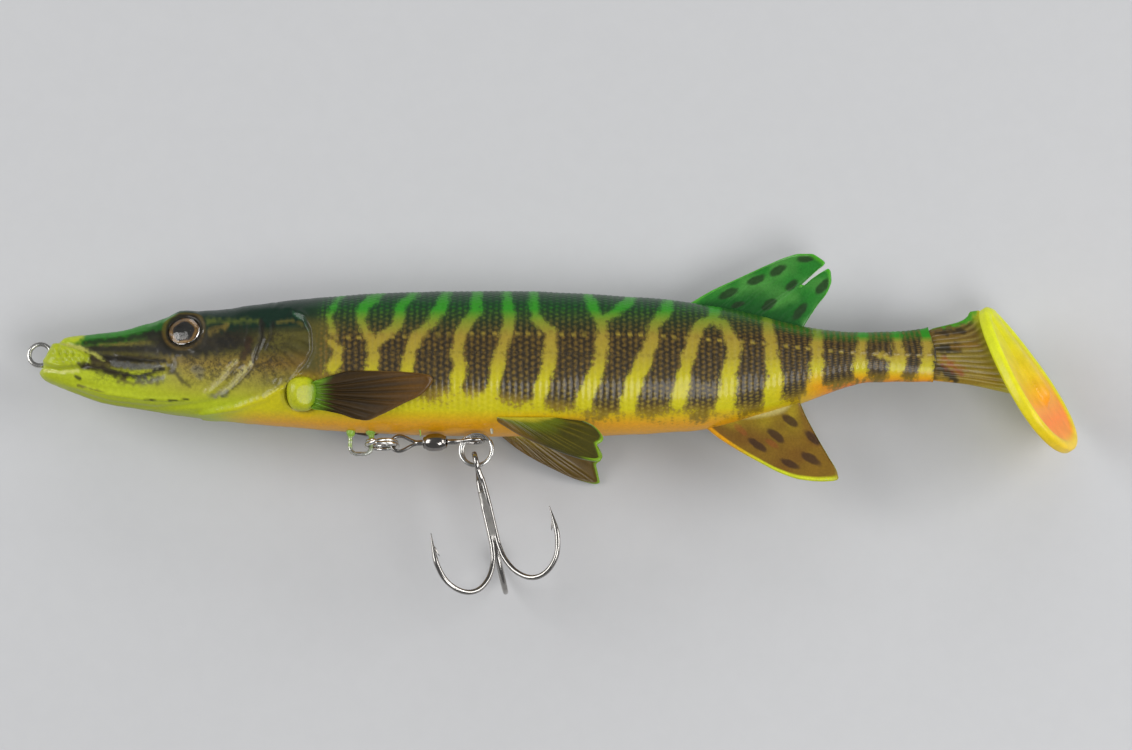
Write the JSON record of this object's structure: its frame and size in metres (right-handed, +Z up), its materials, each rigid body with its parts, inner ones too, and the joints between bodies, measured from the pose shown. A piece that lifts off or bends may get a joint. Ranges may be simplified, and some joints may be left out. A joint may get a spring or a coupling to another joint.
{
  "type": "swimbait",
  "caption": "Long pike-shaped soft fishing lure lying on its side, with a paddle tail, soft fins, a wire line eye at the nose and a treble hook on a swivel under the belly.",
  "frame": {"origin": "centre of the line eye at the nose, in the lure's middle plane", "axes": "the lure lies on its right side: +X from nose to tail, +Y from belly to back, +Z up through the left flank and along the line eye's hole"},
  "size_m": [0.2041, 0.068, 0.023],
  "materials": {
    "soft_flank": "gloss",
    "soft_paddle": "gloss",
    "fin_green": "gloss",
    "fin_olive": "gloss",
    "fin_brown": "gloss",
    "iris_foil": "metallic",
    "clear_dome": "clear gloss",
    "steel_wire": "bright",
    "black_nickel": "dark plated",
    "ballast": "matt"
  },
  "bodies": {
    "root": {"front_body": "soft_flank", "eye_iris_left": "iris_foil", "eye_iris_right": "iris_foil", "eye_lens_left": "clear_dome", "eye_lens_right": "clear_dome", "harness_wire": "steel_wire", "keel_weight": "ballast"},
    "treble": {"treble_double_hook": "black_nickel", "treble_single_hook": "black_nickel", "treble_solder": "black_nickel"},
    "tail_stem": {"tail_stem": "soft_flank"},
    "tail_paddle": {"tail_paddle": "soft_paddle"},
    "dorsal_fin": {"dorsal_fin": "fin_green"},
    "anal_fin": {"anal_fin": "fin_olive"},
    "pelvic_fin_left": {"pelvic_fin_left": "fin_olive"},
    "pelvic_fin_right": {"pelvic_fin_right": "fin_olive"},
    "pectoral_fin_left": {"pectoral_fin_left": "fin_brown"},
    "pectoral_fin_right": {"pectoral_fin_right": "fin_brown"},
    "front_split_ring": {"front_split_ring": "steel_wire"},
    "swivel_front_eye": {"swivel_front_eye": "black_nickel"},
    "swivel_barrel": {"swivel_barrel": "black_nickel"},
    "swivel_rear_eye": {"swivel_rear_eye": "black_nickel"},
    "rear_split_ring": {"rear_split_ring": "steel_wire"}
  },
  "joints": [
    {"name": "tail_flex", "type": "hinge", "parent": "root", "child": "tail_stem", "pos_m": [0.16, 0, 0], "axis": [0, 1, 0], "range_deg": [-35, 35], "stiffness_Nm_per_rad": 0.004},
    {"name": "paddle_flex", "type": "hinge", "parent": "tail_stem", "child": "tail_paddle", "pos_m": [0.18968, -0.00557, 0], "axis": [0.4848, -0.8746, 0], "range_deg": [-42, 6], "stiffness_Nm_per_rad": 0.002},
    {"name": "dorsal_flex", "type": "hinge", "parent": "root", "child": "dorsal_fin", "pos_m": [0.127, 0.009, 0], "axis": [0.9777, -0.2102, 0], "range_deg": [-20, 20], "stiffness_Nm_per_rad": 0.001},
    {"name": "anal_flex", "type": "hinge", "parent": "root", "child": "anal_fin", "pos_m": [0.1295, -0.0132, 0], "axis": [0.9611, 0.2763, 0], "range_deg": [-20, 20], "stiffness_Nm_per_rad": 0.001},
    {"name": "pectoral_left_flex", "type": "hinge", "parent": "root", "child": "pectoral_fin_left", "pos_m": [0.0516, -0.0092, 0.0062], "axis": [0, -1, 0], "range_deg": [0, 40], "stiffness_Nm_per_rad": 0.0005},
    {"name": "pectoral_right_flex", "type": "hinge", "parent": "root", "child": "pectoral_fin_right", "pos_m": [0.0516, -0.0092, -0.0062], "axis": [0, 1, 0], "range_deg": [0, 40], "stiffness_Nm_per_rad": 0.0005},
    {"name": "pelvic_left_flex", "type": "hinge", "parent": "root", "child": "pelvic_fin_left", "pos_m": [0.088, -0.0138, 0.0059], "axis": [1, 0, 0], "range_deg": [-10, 15], "stiffness_Nm_per_rad": 0.0005},
    {"name": "pelvic_right_flex", "type": "hinge", "parent": "root", "child": "pelvic_fin_right", "pos_m": [0.088, -0.0138, -0.0059], "axis": [-1, 0, 0], "range_deg": [-10, 15], "stiffness_Nm_per_rad": 0.0005},
    {"name": "front_ring_swing", "type": "hinge", "parent": "root", "child": "front_split_ring", "pos_m": [0.0643, -0.0177, 0], "axis": [0, -1, 0], "range_deg": [-45, 30]},
    {"name": "swivel_swing", "type": "hinge", "parent": "front_split_ring", "child": "swivel_front_eye", "pos_m": [0.06934, -0.0177, 0.0008], "axis": [-0.1564, 0, 0.9877], "range_deg": [-90, 0]},
    {"name": "swivel_barrel_spin", "type": "hinge", "parent": "swivel_front_eye", "child": "swivel_barrel", "pos_m": [0.0767, -0.0177, 0.00196], "axis": [0.9877, 0, 0.1564], "continuous": true},
    {"name": "rear_eye_spin", "type": "hinge", "parent": "swivel_front_eye", "child": "swivel_rear_eye", "pos_m": [0.0767, -0.0177, 0.00196], "axis": [0.9877, 0, 0.1564], "range_deg": [-30, 30]},
    {"name": "rear_ring_swing", "type": "hinge", "parent": "swivel_rear_eye", "child": "rear_split_ring", "pos_m": [0.08558, -0.0177, 0.00337], "axis": [-0.1564, 0, 0.9877], "range_deg": [-3, 24]},
    {"name": "treble_swing", "type": "hinge", "parent": "rear_split_ring", "child": "treble", "pos_m": [0.0847, -0.02245, 0.00323], "axis": [0.9877, 0, 0.1564], "range_deg": [-25, 25]}
  ]
}
